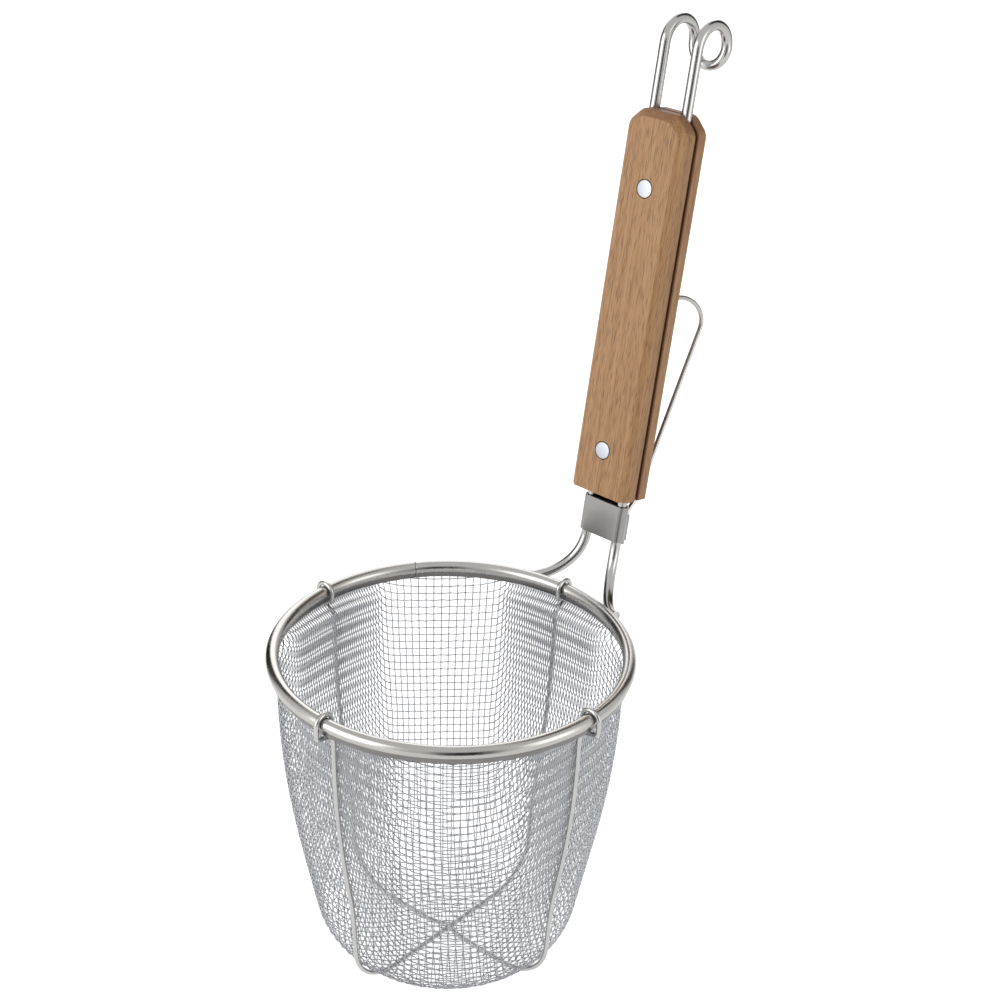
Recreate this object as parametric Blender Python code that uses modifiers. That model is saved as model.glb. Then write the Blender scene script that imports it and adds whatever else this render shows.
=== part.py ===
"""A ramen noodle strainer: a deep wire basket under a rolled rim, on a rod handle with a wooden grip.

Metres, +Z up. The origin is the middle of the base, on the surface that the strainer stands on. The basket's axis is
Z, the handle rises at +Y, and the object is mirrored about X = 0, apart from the small turn of the two rib wires.
"""

from math import asin, cos, pi, radians, sin

import bmesh
import bpy
from mathutils import Matrix, Vector

mm = 0.001

# Gaps between pieces that touch on the real object
contact_gap = 0.3 * mm

# Rim: an upside-down U of sheet round a core ring, gripping the basket's edge
rim_outer_radius = 75.0 * mm
rim_height = 141.4 * mm  # the roll's centre above the base
roll_radius = 2.75 * mm
rim_sheet = 0.5 * mm
skirt_depth = 4.2 * mm  # below the roll's centre

# Basket: the woven cloth as one thin wall, cloth_wall thick
cloth_wall = 1.0 * mm
cloth_tuck = 2.6 * mm  # the cloth's top edge below the roll's centre
neck_drop = 7.6 * mm  # where the neck has drawn in, below the roll's centre
neck_draw_in = 1.92 * mm  # how far the wall draws in below the rim
wall_top_pull = 43.7 * mm
wall_base_pull = 42.5 * mm
wall_base_lean = radians(12.4)
corner_radius = 24.5 * mm
base_flat_radius = 32.15 * mm
base_rise = 2.6 * mm  # the base is drawn up a little in the middle
rib_draw_in = 5.0 * mm  # the tight ribs make the wall's section a rounded square, flattest at the ribs
draw_in_top_run = 6.0 * mm  # from the rim's skirts down to where the ribs draw in fully
draw_in_base_run = 50.0 * mm  # from the base up to there

# The basket's openings: a plain grid, far coarser than the cloth's own cells
grid_sectors = 20
grid_rows = 10  # from the band under the rim to the middle of the base
grid_bar = 4.5 * mm
grid_band = 6.0 * mm  # the solid band at the top
grid_hub_radius = 14.0 * mm  # the solid middle of the base
grid_spoke_radius = 28.0 * mm  # every second upright stops here
grid_most_share = 0.4  # of a sector that half a bar takes near the middle

# Ribs: two wires under the basket, hooked over the rim
rib_diameter = 2.0 * mm
rib_turn = radians(1.65)  # how far the ribs are turned from the handle
rib_foot_flat = 0.4 * mm  # depth of the flat that the ribs stand on
rib_hump_length = 20.0 * mm  # where the upper rib crosses the lower one
hook_step_low = 11.0 * mm  # below the roll's centre, where a rib starts to step out round the rim
hook_under_drop = 4.0 * mm  # where the hook starts to bend in under the skirt
hook_under_radius = 2.2 * mm
hook_under_angle = radians(80.0)
hook_step_pull = 5.0 * mm
hook_inner_drop = 4.2 * mm  # the hook's end inside the rim, below the roll's centre
hook_inner_lean = 0.5 * mm

# Handle rod: one wire from rim to rim, by way of the double hook at its top
rod_diameter = 4.5 * mm
leg_spacing = 16.35 * mm
handle_lean = radians(9.09)
handle_stand_off = 18.07 * mm  # the handle's line outside the roll's centre, at the same height
tail_angle = radians(21.0)  # where a tail leaves the rim, from the handle's side
tail_length = 2.5 * mm
tail_nest = radians(23.0)  # a tail lies against the roll, at this angle below its widest point
tail_peel = radians(20.0)  # how steeply a tail turns away from the rim
leg_bend_top = 19.1 * mm
leg_bend_pull = 18.0 * mm
tail_bend_pull = 6.5 * mm
hook_rise = 229.0 * mm  # along the handle, where the hook's bend begins
hook_bend_radius = 9.75 * mm
hook_return_rise = 0.5 * mm  # the return bend's centre above the start of the hook's bend

# Sleeve: a flattened tube round both legs
sleeve_bottom = 19.8 * mm
sleeve_length = 16.1 * mm
sleeve_wall = 0.55 * mm
ridge_length = 11.2 * mm  # the two ridges over the clip's tails

# Grip: two wooden scales round the legs
grip_bottom = 40.4 * mm
grip_length = 162.9 * mm
grip_width = 30.1 * mm
grip_thickness = 18.35 * mm
grip_gap = 1.6 * mm
grip_chamfer = 3.0 * mm
grip_corner_radius = 9.3 * mm

# Rivets: a head with a shank in front, a cap with a short sleeve behind
rivet_heights = {"lower": 19.4 * mm, "upper": 131.6 * mm}  # above the grip's lower end
rivet_head_radius = 3.5 * mm
rivet_head_thickness = 1.6 * mm
rivet_proud = 0.3 * mm
rivet_head_round = 0.35 * mm
rivet_shank_radius = 2.0 * mm
cap_wall = 0.5 * mm
cap_length = 6.0 * mm
cap_overlap = 3.6 * mm  # how far the shank reaches into the cap's sleeve

# Clip: one sprung wire, both tails in the sleeve's ridges
clip_diameter = 2.0 * mm
clip_rod_gap = 0.5 * mm  # room for the tails to turn in the ridges
clip_hinge_height = 30.0 * mm
clip_tail_length = 4.8 * mm  # short enough to turn in its bore without touching it
clip_straight_drop = 0.5 * mm  # where the wire starts to bend, below the hinge
clip_arm_start = (40.0 * mm, 10.35 * mm)  # height along the handle, distance behind it
clip_arm_end = (110.0 * mm, 34.8 * mm)
clip_top_height = 126.4 * mm
clip_low_pull = 4.0 * mm
clip_curl_pull = 9.0 * mm
clip_curl_end_pull = 10.5 * mm
clip_corner_radius = 4.0 * mm

# How finely the round shapes are faceted
round_steps = 64
grid_row_steps = 3
grid_column_steps = 2
rivet_steps = 20
cutter_over = 2.0 * mm  # how far a cutter runs past what it cuts

# Sizes that follow
roll_centre_radius = rim_outer_radius - roll_radius
rib_radius = rib_diameter / 2
rod_radius = rod_diameter / 2
clip_radius = clip_diameter / 2
half_spacing = leg_spacing / 2
rib_height = rib_radius - rib_foot_flat
rib_offset = rib_radius + contact_gap
base_height = rib_height + rib_offset
mouth_half = cloth_wall / 2 + contact_gap  # half the gap between the two skirts at their lower edges
neck_radius = roll_centre_radius + cloth_wall / 2
wall_top_radius = neck_radius - neck_draw_in
handle_offset = roll_centre_radius + handle_stand_off
grip_face = grip_thickness / 2
scale_thickness = (grip_thickness - grip_gap) / 2
cap_outer_radius = rivet_shank_radius + contact_gap + cap_wall
clip_line = rod_radius + clip_rod_gap + clip_radius
tail_reach = roll_radius + rod_radius + contact_gap
sleeve_bore_radius = rod_radius + contact_gap
sleeve_radius = sleeve_bore_radius + sleeve_wall
ridge_bore_radius = clip_radius + contact_gap
ridge_radius = ridge_bore_radius + sleeve_wall


def bezier(start, start_pull, end_pull, end, steps):
    """Points along a cubic curve, without its first point. The pulls are its two inner control points."""
    points = []
    for step in range(1, steps + 1):
        t = step / steps
        s = 1 - t
        point = s**3 * start + 3 * s * s * t * start_pull + 3 * s * t * t * end_pull + t**3 * end
        points.append(point)
    return points


def arc(centre, radius, start, end, steps):
    """Points along a circle in a plane, from one angle to another."""
    angles = [start + (end - start) * step / steps for step in range(steps + 1)]
    return [centre + Vector((radius * cos(a), radius * sin(a))) for a in angles]


def offset_outwards(points, distance):
    """A profile moved out by a distance, square to itself. It runs down its outer side."""
    moved = []
    for index, point in enumerate(points):
        before = points[max(index - 1, 0)]
        after = points[min(index + 1, len(points) - 1)]
        along = (after - before).normalized()
        moved.append(point + distance * Vector((-along.y, along.x)))
    return moved


def material(name, colour, roughness, metallic):
    made = bpy.data.materials.new(name)
    made.use_nodes = True
    shader = made.node_tree.nodes["Principled BSDF"]
    shader.inputs["Base Color"].default_value = (*colour, 1.0)
    shader.inputs["Roughness"].default_value = roughness
    shader.inputs["Metallic"].default_value = metallic
    made.diffuse_color = (*colour, 1.0)
    return made


def collection(name):
    made = bpy.data.collections.new(name)
    bpy.context.scene.collection.children.link(made)
    return made


def add_mesh(name, mesh, group, finish=None):
    made = bpy.data.objects.new(name, mesh)
    group.objects.link(made)
    if finish:
        mesh.materials.append(finish)
    return made


def turned(name, profile, steps, group, finish=None, wall=None):
    """A profile of (radius, height) points turned about Z, and made into a shell where it has a wall."""
    mesh = bpy.data.meshes.new(name)
    points = [(radius, 0, height) for radius, height in profile]
    mesh.from_pydata(points, [(i, i + 1) for i in range(len(points) - 1)], [])
    made = add_mesh(name, mesh, group, finish)
    screw = made.modifiers.new("turn", "SCREW")
    screw.angle = 2 * pi
    screw.steps = screw.render_steps = steps
    screw.use_merge_vertices = True
    screw.merge_threshold = 0.00001
    screw.use_smooth_shade = True
    if wall:
        shell = made.modifiers.new("wall", "SOLIDIFY")
        shell.thickness = wall
        shell.offset = -1
        shell.use_even_offset = True
    return made


def wire(name, points, radius, roundness, group, finish, closed=False):
    """A round wire along points, as a curve with closed ends."""
    curve = bpy.data.curves.new(name, "CURVE")
    curve.dimensions = "3D"
    curve.bevel_depth = radius
    curve.bevel_resolution = roundness
    curve.use_fill_caps = True
    spline = curve.splines.new("POLY")
    spline.points.add(len(points) - 1)
    for place, point in zip(spline.points, points):
        place.co = (*point, 1.0)
    spline.use_cyclic_u = closed
    curve.materials.append(finish)
    made = bpy.data.objects.new(name, curve)
    group.objects.link(made)
    return made


def outline(name, points, half_thickness, group, finish=None):
    """A flat outline, filled and given a thickness."""
    curve = bpy.data.curves.new(name, "CURVE")
    curve.dimensions = "2D"
    curve.fill_mode = "BOTH"
    curve.extrude = half_thickness
    spline = curve.splines.new("POLY")
    spline.points.add(len(points) - 1)
    for place, point in zip(spline.points, points):
        place.co = (*point, 0.0, 1.0)
    spline.use_cyclic_u = True
    if finish:
        curve.materials.append(finish)
    made = bpy.data.objects.new(name, curve)
    group.objects.link(made)
    return made


def as_mesh(curve_object, group):
    """The curve's object made a closed mesh under the same name, in the same place."""
    name = curve_object.name
    bpy.context.view_layer.update()
    mesh = bpy.data.meshes.new_from_object(curve_object.evaluated_get(bpy.context.evaluated_depsgraph_get()))
    welded = bmesh.new()
    welded.from_mesh(mesh)
    bmesh.ops.remove_doubles(welded, verts=welded.verts, dist=0.000001)
    bmesh.ops.recalc_face_normals(welded, faces=welded.faces)
    welded.to_mesh(mesh)
    welded.free()
    made = bpy.data.objects.new(name, mesh)
    made.matrix_world = curve_object.matrix_world
    curve = curve_object.data
    bpy.data.objects.remove(curve_object)
    bpy.data.curves.remove(curve)
    made.name = mesh.name = name
    group.objects.link(made)
    return made


def shade_round(mesh_object):
    mesh_object.data.shade_smooth()
    mesh_object.data.set_sharp_from_angle(angle=radians(35))


def cut(target, cutter, operation="DIFFERENCE"):
    boolean = target.modifiers.new(cutter.name, "BOOLEAN")
    boolean.operation = operation
    boolean.object = cutter


def cutter_cylinder(name, radius, length, place, along_depth=False):
    """A hidden cylinder that starts at a place and runs up, or back from the front where along_depth is set."""
    mesh = bpy.data.meshes.new(name)
    solid = bmesh.new()
    bmesh.ops.create_cone(
        solid, cap_ends=True, segments=24, radius1=radius, radius2=radius, depth=length,
        matrix=Matrix.Translation((0, 0, length / 2)),
    )
    if along_depth:
        bmesh.ops.rotate(solid, verts=solid.verts, matrix=Matrix.Rotation(-pi / 2, 3, "X"))
    bmesh.ops.translate(solid, verts=solid.verts, vec=place)
    solid.to_mesh(mesh)
    solid.free()
    return hide(add_mesh(name, mesh, cutters))


def hide(helper):
    helper.hide_render = True
    helper.display_type = "WIRE"
    return helper


def on_handle(made, place=(0, 0, 0)):
    """Stands an object in the handle's frame: Z up along the handle, Y behind it."""
    made.parent = handle_frame
    made.location = place
    return made


def roll_outside():
    """The rim's outer surface as (radius, height), from the inner skirt's edge over the roll to the outer skirt's."""
    centre = Vector((roll_centre_radius, rim_height))
    lean = roll_radius - mouth_half - rim_sheet
    bend_radius = (skirt_depth**2 + lean**2) / (2 * lean)
    bend_angle = asin(skirt_depth / bend_radius)
    outer_bend = Vector((centre.x + roll_radius - bend_radius, centre.y))
    inner_bend = Vector((centre.x - roll_radius + bend_radius, centre.y))
    inner = arc(inner_bend, bend_radius, pi + bend_angle, pi, 3)
    top = arc(centre, roll_radius, pi, 0, 8)
    outer = arc(outer_bend, bend_radius, 0, -bend_angle, 3)
    return inner + top[1:] + outer[1:]


def basket_wall(steps):
    """The cloth's outer side from its neck down to the flat of the base, as (radius, height)."""
    neck = Vector((wall_top_radius, rim_height - neck_drop))
    corner_centre = Vector((base_flat_radius, base_height + corner_radius))
    foot = corner_centre + corner_radius * Vector((cos(wall_base_lean), -sin(wall_base_lean)))
    wall = bezier(
        neck,
        neck - wall_top_pull * Vector((0, 1)),
        foot + wall_base_pull * Vector((sin(wall_base_lean), cos(wall_base_lean))),
        foot,
        steps,
    )
    corner = arc(corner_centre, corner_radius, -wall_base_lean, -pi / 2, steps // 2)
    return [neck] + wall + corner[1:]


def basket_profile():
    """The cloth's outer side from its top edge inside the rim down to the middle of the base."""
    tuck = Vector((neck_radius, rim_height - cloth_tuck))
    mouth = Vector((neck_radius, rim_height - skirt_depth))
    wall = basket_wall(24)
    half_way = Vector(((mouth.x + wall[0].x) / 2, (mouth.y + wall[0].y) / 2))
    base = []
    for share in (5 / 6, 2 / 3, 1 / 2, 1 / 3, 1 / 6, 0):
        rise = base_rise * (1 + cos(pi * share)) / 2
        base.append(Vector((base_flat_radius * share, base_height + rise)))
    return [tuck, mouth, half_way] + wall + base


def drawn_in(point, turn=0):
    """A point of the cloth's profile as the ribs draw it in. turn is its angle from a rib."""
    below_rim = (rim_height - skirt_depth - point.y) / draw_in_top_run
    above_base = (point.y - base_height) / draw_in_base_run
    share = min(max(min(below_rim, above_base), 0), 1)
    return point - rib_draw_in * (1 - cos(pi * share)) / 2 * (1 + cos(4 * turn)) / 2 * Vector((1, 0))


def along_profile(points, ways):
    """Points at distances along a profile, in rising order."""
    made = []
    index, behind = 0, 0
    for way in ways:
        span = (points[index + 1] - points[index]).length
        while way > behind + span and index < len(points) - 2:
            behind += span
            index += 1
            span = (points[index + 1] - points[index]).length
        made.append(points[index].lerp(points[index + 1], min((way - behind) / span, 1)))
    return made


def grid_strips():
    """The grid's rows as distances along the profile, and whether the strip below each one has openings."""
    profile = basket_profile()
    length = sum((after - before).length for before, after in zip(profile, profile[1:]))
    pitch = (length - grid_hub_radius - grid_band) / grid_rows
    band = grid_band / grid_row_steps
    ways = [band * step for step in range(grid_row_steps)]
    openings = [False] * grid_row_steps
    for row in range(grid_rows):
        for step in range(grid_row_steps):
            ways.append(grid_band + pitch * row + (pitch - grid_bar) * step / grid_row_steps)
            openings.append(True)
        ways.append(grid_band + pitch * (row + 1) - grid_bar)
        openings.append(False)
    return along_profile(profile, ways + [length - grid_hub_radius]), openings


def grid_angles(radius):
    """The edges of the uprights and of the facets between them, round a row."""
    sector = 2 * pi / grid_sectors
    half_bar = min(asin(min(grid_bar / 2 / radius, 1)), grid_most_share * sector)
    angles = []
    for upright in range(grid_sectors):
        middle = rib_turn + upright * sector
        angles.append(middle - half_bar)
        for step in range(grid_column_steps):
            angles.append(middle + half_bar + (sector - 2 * half_bar) * step / grid_column_steps)
    return angles


def make_basket():
    """The cloth's form as one thin wall with a plain grid of openings."""
    rows, openings = grid_strips()
    columns = grid_sectors * (grid_column_steps + 1)
    points = []
    for row in rows:
        for angle in grid_angles(row.x):
            radius = drawn_in(row, angle - rib_turn).x
            points.append((radius * cos(angle), radius * sin(angle), row.y))
    faces = []
    for index, has_openings in enumerate(openings):
        inside = rows[index + 1].x < grid_spoke_radius
        for column in range(columns):
            upright, part = divmod(column, grid_column_steps + 1)
            stays = part == 0 and not (inside and upright % 2)
            if stays or not has_openings:
                beside = (column + 1) % columns
                top, low = index * columns, (index + 1) * columns
                faces.append((top + column, low + column, low + beside, top + beside))
    points.append((0, 0, base_height + base_rise))
    last = (len(rows) - 1) * columns
    faces += [(last + column, len(points) - 1, last + (column + 1) % columns) for column in range(columns)]
    mesh = bpy.data.meshes.new("mesh_basket")
    mesh.from_pydata(points, [], faces)
    made = add_mesh("mesh_basket", mesh, parts, steel_mesh)
    shell = made.modifiers.new("wall", "SOLIDIFY")
    shell.thickness = cloth_wall
    shell.offset = -1
    shell.use_even_offset = True


def rib_side(middle_height):
    """One half of a rib in its own plane, from the hook's inner end to the middle of the base."""
    centre = Vector((roll_centre_radius, rim_height))
    hook_radius = roll_radius + rib_offset
    inside = centre.x - hook_radius
    end = Vector((inside + hook_inner_lean, rim_height - hook_inner_drop))
    over = arc(centre, hook_radius, pi, 0, 12)
    under_centre = Vector((centre.x + hook_radius - hook_under_radius, rim_height - hook_under_drop))
    under = arc(under_centre, hook_under_radius, 0, -hook_under_angle, 5)
    inwards = hook_step_pull * Vector((-sin(hook_under_angle), -cos(hook_under_angle)))
    wall = offset_outwards([drawn_in(point) for point in basket_wall(16)], rib_offset)
    wall = [point for point in wall if point.y < rim_height - hook_step_low]
    step = bezier(under[-1], under[-1] + inwards, wall[0] + hook_step_pull * Vector((0, 1)), wall[0], 7)
    wall[-1].y = rib_height
    middle = []
    for index in range(9):
        share = index / 8
        lift = (middle_height - rib_height) * (1 - cos(pi * share)) / 2
        middle.append(Vector((rib_hump_length / 2 * (1 - share), rib_height + lift)))
    return [end] + over + under + step + wall[1:] + middle


def make_rib(name, turn, middle_height):
    """A whole rib, its underside cut flat where it stands."""
    side = rib_side(middle_height)
    flat_points = side + [Vector((-point.x, point.y)) for point in side[-2::-1]]
    points = [Vector((point.x * cos(turn), point.x * sin(turn), point.y)) for point in flat_points]
    rib = as_mesh(wire(name, points, rib_radius, 2, parts, steel_wire), parts)
    shade_round(rib)
    cut(rib, floor_cutter)
    return rib


def handle_point(across, back, up):
    """A place in the handle's frame, in the object's frame."""
    return Vector((across, handle_offset + up * sin(handle_lean) + back * cos(handle_lean),
                   rim_height + up * cos(handle_lean) - back * sin(handle_lean)))


def rod_half():
    """The rod's half at -X, from the end of its tail to the middle of the double hook."""
    reach = roll_centre_radius + tail_reach * cos(tail_nest)
    height = rim_height - tail_reach * sin(tail_nest)
    tail = []
    for step in range(5):
        around = tail_angle + tail_length / reach * (1 - step / 4)
        tail.append(Vector((-reach * sin(around), reach * cos(around), height)))
    peel = tail_angle - tail_peel
    away = tail[-1] + tail_bend_pull * Vector((cos(peel), sin(peel), 0))
    leg = handle_point(-half_spacing, 0, leg_bend_top)
    leg_pull = handle_point(-half_spacing, 0, leg_bend_top - leg_bend_pull)
    bend = bezier(tail[-1], away, leg_pull, leg, 12)
    hook = []
    for back, up in arc(Vector((hook_bend_radius, hook_rise)), hook_bend_radius, pi, 0, 24):
        hook.append(handle_point(-half_spacing, back, up))
    back = 2 * hook_bend_radius
    turn_height = hook_rise + hook_return_rise
    turn = []
    for across, up in arc(Vector((0, turn_height)), half_spacing, pi, 1.5 * pi, 10):
        turn.append(handle_point(across, back, up))
    return tail + bend + hook + turn


def make_rod():
    half = rod_half()
    points = half + [Vector((-point.x, point.y, point.z)) for point in half[-2::-1]]
    return wire("handle_rod", points, rod_radius, 3, parts, steel_rod)


def obround(half_width, radius, steps):
    """An outline with round ends, as wide as two circles of the radius at the legs."""
    right = arc(Vector((half_width, 0)), radius, -pi / 2, pi / 2, steps)
    left = arc(Vector((-half_width, 0)), radius, pi / 2, 1.5 * pi, steps)
    return right + left


def make_sleeve():
    """The flattened tube, with its two ridges and the mouths that the clip's tails come out of."""
    made = outline("leg_sleeve", obround(half_spacing, sleeve_radius, 8), sleeve_length / 2, parts, steel_sheet)
    made = as_mesh(made, parts)
    on_handle(made, (0, 0, sleeve_bottom + sleeve_length / 2))
    shade_round(made)
    bore_outline = obround(half_spacing, sleeve_bore_radius, 8)
    bore = outline("sleeve_bore", bore_outline, sleeve_length / 2 + cutter_over, cutters)
    bore = hide(as_mesh(bore, cutters))
    on_handle(bore, (0, 0, sleeve_bottom + sleeve_length / 2))
    tail_bores = []
    for side, sign in (("left", -1), ("right", 1)):
        place = (sign * half_spacing, clip_line, sleeve_bottom)
        ridge = on_handle(cutter_cylinder(f"ridge_{side}", ridge_radius, ridge_length, place))
        cut(made, ridge, "UNION")
        place = (sign * half_spacing, clip_line, sleeve_bottom - cutter_over)
        length = ridge_length + 2 * cutter_over
        tail_bores.append(on_handle(cutter_cylinder(f"tail_bore_{side}", ridge_bore_radius, length, place)))
    cut(made, bore)
    for tail_bore in tail_bores:
        cut(made, tail_bore)
    return made


def scale_outline():
    """A scale's face from its lower end up, with the two upper corners rounded."""
    half = grip_width / 2
    corner = Vector((half - grip_corner_radius, grip_length - grip_corner_radius))
    right = arc(corner, grip_corner_radius, 0, pi / 2, 6)
    left = arc(Vector((-corner.x, corner.y)), grip_corner_radius, pi / 2, pi, 6)
    return [Vector((-half, 0)), Vector((half, 0))] + right + left


def chamfer_face(scale):
    """Chamfers the outer face's edges, leaving the edge at the lower end sharp."""
    solid = bmesh.new()
    solid.from_mesh(scale.data)
    tiny = 0.01 * mm
    rim = []
    for edge in solid.edges:
        first, second = (corner.co for corner in edge.verts)
        on_face = first.z > scale_thickness / 2 - tiny and second.z > scale_thickness / 2 - tiny
        at_end = first.y < tiny and second.y < tiny
        between = len(edge.link_faces) == 2 and edge.calc_face_angle(0) > radians(45)
        if on_face and between and not at_end:
            rim.append(edge)
    bmesh.ops.bevel(solid, geom=rim, offset=grip_chamfer, segments=1, affect="EDGES")
    solid.to_mesh(scale.data)
    solid.free()


def make_scale(name, facing):
    """One wooden scale. facing is 1 in front of the rod and -1 behind it."""
    made = as_mesh(outline(name, scale_outline(), scale_thickness / 2, parts, wood), parts)
    chamfer_face(made)
    middle = grip_gap / 2 + scale_thickness / 2
    on_handle(made, (0, -facing * middle, grip_bottom))
    made.rotation_euler = (pi / 2, 0, 0) if facing > 0 else (pi / 2, 0, pi)
    for groove in grooves:
        cut(made, groove)
    for height in rivet_heights.values():
        for hole in rivet_holes[height, facing]:
            cut(made, hole)
    return made


def make_grip_cutters():
    """The grooves for both legs, and the stepped rivet holes of each scale."""
    groove_radius = rod_radius + contact_gap
    for side, sign in (("left", -1), ("right", 1)):
        place = (sign * half_spacing, 0, grip_bottom - cutter_over)
        cylinder = cutter_cylinder(f"groove_{side}", groove_radius, grip_length + 2 * cutter_over, place)
        grooves.append(on_handle(cylinder))
    seat_depth = rivet_head_thickness - rivet_proud + contact_gap
    for label, height in rivet_heights.items():
        up = grip_bottom + height
        for facing, bore in ((1, rivet_shank_radius), (-1, cap_outer_radius)):
            where = "front" if facing > 0 else "back"
            bore_start = -grip_face - cutter_over if facing > 0 else 0
            through = cutter_cylinder(
                f"{label}_{where}_bore", bore + contact_gap, grip_face + cutter_over, (0, bore_start, up), True
            )
            seat_start = -grip_face - cutter_over if facing > 0 else grip_face - seat_depth
            seat_length = seat_depth + cutter_over
            seat = cutter_cylinder(
                f"{label}_{where}_seat", rivet_head_radius + contact_gap, seat_length, (0, seat_start, up), True
            )
            rivet_holes[height, facing] = [on_handle(through), on_handle(seat)]


def rounded_head(face, base):
    """A rivet head's edge, from the middle of its face to its base."""
    outer = face - rivet_head_round if face > base else face + rivet_head_round
    flat_radius = rivet_head_radius - rivet_head_round
    return [(0, face), (flat_radius, face), (rivet_head_radius, outer), (rivet_head_radius, base)]


def make_rivet(label, height):
    """Both halves of a rivet. Their profiles run along the rivet, from the front face back."""
    face = grip_face + rivet_proud
    head_base = face - rivet_head_thickness
    sleeve_end = -head_base + cap_length
    shank_end = sleeve_end - cap_overlap
    front = rounded_head(face, head_base)
    front += [(rivet_shank_radius, head_base), (rivet_shank_radius, shank_end), (0, shank_end)]
    bore = rivet_shank_radius + contact_gap
    floor = shank_end - contact_gap
    back = [(0, floor), (bore, floor), (bore, sleeve_end), (cap_outer_radius, sleeve_end)]
    back += [(cap_outer_radius, -head_base)] + rounded_head(-face, -head_base)[::-1]
    for where, profile in (("front", front), ("back", back)):
        made = turned(f"rivet_{label}_{where}", profile, rivet_steps, parts, rivet_metal)
        on_handle(made, (0, 0, grip_bottom + height))
        made.rotation_euler = (pi / 2, 0, 0)


def clip_half():
    """The clip's arm at +X from its tail to the middle of its closed end, measured from its hinge."""
    def place(up, back):
        return Vector((half_spacing, back - clip_line, up - clip_hinge_height))

    arm_start, arm_end = Vector(clip_arm_start), Vector(clip_arm_end)
    lean = (arm_end - arm_start).normalized()
    tail = Vector((clip_hinge_height - clip_tail_length, clip_line))
    bend_start = Vector((clip_hinge_height - clip_straight_drop, clip_line))
    bend = bezier(
        bend_start, bend_start + clip_low_pull * Vector((1, 0)), arm_start - clip_low_pull * lean, arm_start, 7
    )
    closed_end = grip_face + contact_gap + clip_radius
    top = Vector((clip_top_height, closed_end + clip_corner_radius))
    curl = bezier(
        arm_end, arm_end + clip_curl_pull * lean, top + clip_curl_end_pull * Vector((0, 1)), top, 12
    )
    points = [place(up, back) for up, back in [tail, bend_start] + bend + [arm_end] + curl]
    corner = points[-1] - clip_corner_radius * Vector((1, 0, 0))
    for across, back in arc(Vector((0, 0)), clip_corner_radius, 0, -pi / 2, 4)[1:]:
        points.append(corner + Vector((across, back, 0)))
    return points


def make_clip():
    """The clip's origin is its hinge, where it leaves the sleeve."""
    half = clip_half()
    points = half + [Vector((-point.x, point.y, point.z)) for point in half[::-1]]
    made = wire("pan_clip", points, clip_radius, 2, parts, steel_clip)
    return on_handle(made, (0, clip_line, clip_hinge_height))


for old in list(bpy.data.objects):
    bpy.data.objects.remove(old, do_unlink=True)

parts = collection("ramen_strainer")
cutters = collection("cutters")

steel_mesh = material("mesh steel", (0.60, 0.61, 0.62), 0.35, 1.0)
steel_sheet = material("satin steel sheet", (0.58, 0.57, 0.55), 0.32, 1.0)
steel_wire = material("rib steel", (0.55, 0.55, 0.54), 0.35, 1.0)
steel_rod = material("rod steel", (0.60, 0.59, 0.57), 0.25, 1.0)
steel_clip = material("clip steel", (0.62, 0.61, 0.58), 0.25, 1.0)
wood = material("light brown wood", (0.47, 0.28, 0.14), 0.6, 0.0)
rivet_metal = material("rivet aluminium", (0.80, 0.80, 0.80), 0.3, 1.0)

handle_frame = bpy.data.objects.new("handle_frame", None)
handle_frame.location = (0, handle_offset, rim_height)
handle_frame.rotation_euler = (-handle_lean, 0, 0)
parts.objects.link(handle_frame)

floor_mesh = bpy.data.meshes.new("floor_cutter")
floor_block = bmesh.new()
block_side = 2.5 * rim_outer_radius
bmesh.ops.create_cube(floor_block, size=block_side, matrix=Matrix.Translation((0, 0, -block_side / 2)))
floor_block.to_mesh(floor_mesh)
floor_block.free()
floor_cutter = hide(add_mesh("floor_cutter", floor_mesh, cutters))

make_basket()
turned("rim_channel", roll_outside(), round_steps, parts, steel_sheet, rim_sheet)
core_radius = roll_radius - rim_sheet - contact_gap
core_angles = [2 * pi * step / round_steps for step in range(round_steps)]
core_points = [(roll_centre_radius * cos(a), roll_centre_radius * sin(a), rim_height) for a in core_angles]
wire("rim_core_ring", core_points, core_radius, 2, parts, steel_wire, closed=True)
make_rib("rib_wire_lower", rib_turn + pi / 2, rib_height)
make_rib("rib_wire_upper", rib_turn, rib_height + rib_diameter + contact_gap)
make_rod()
make_sleeve()
grooves = []
rivet_holes = {}
make_grip_cutters()
make_scale("grip_front", 1)
make_scale("grip_back", -1)
for label, height in rivet_heights.items():
    make_rivet(label, height)
make_clip()
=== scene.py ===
from math import cos, pi, radians, sin

import bpy
import numpy as np
from mathutils import Matrix, Vector


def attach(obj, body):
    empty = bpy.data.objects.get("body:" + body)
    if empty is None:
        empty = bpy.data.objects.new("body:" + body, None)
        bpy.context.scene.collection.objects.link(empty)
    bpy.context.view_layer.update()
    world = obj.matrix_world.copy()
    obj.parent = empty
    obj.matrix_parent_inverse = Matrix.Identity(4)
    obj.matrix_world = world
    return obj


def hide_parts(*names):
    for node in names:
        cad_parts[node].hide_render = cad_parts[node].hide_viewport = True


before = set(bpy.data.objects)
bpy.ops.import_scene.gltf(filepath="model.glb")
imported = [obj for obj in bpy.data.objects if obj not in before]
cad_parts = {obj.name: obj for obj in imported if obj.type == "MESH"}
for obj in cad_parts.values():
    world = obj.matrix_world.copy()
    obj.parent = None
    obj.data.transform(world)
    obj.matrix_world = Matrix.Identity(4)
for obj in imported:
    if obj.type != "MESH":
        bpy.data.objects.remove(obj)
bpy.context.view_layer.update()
mm = 0.001  # every length below is in millimetres, in the CAD's own frame

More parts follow.
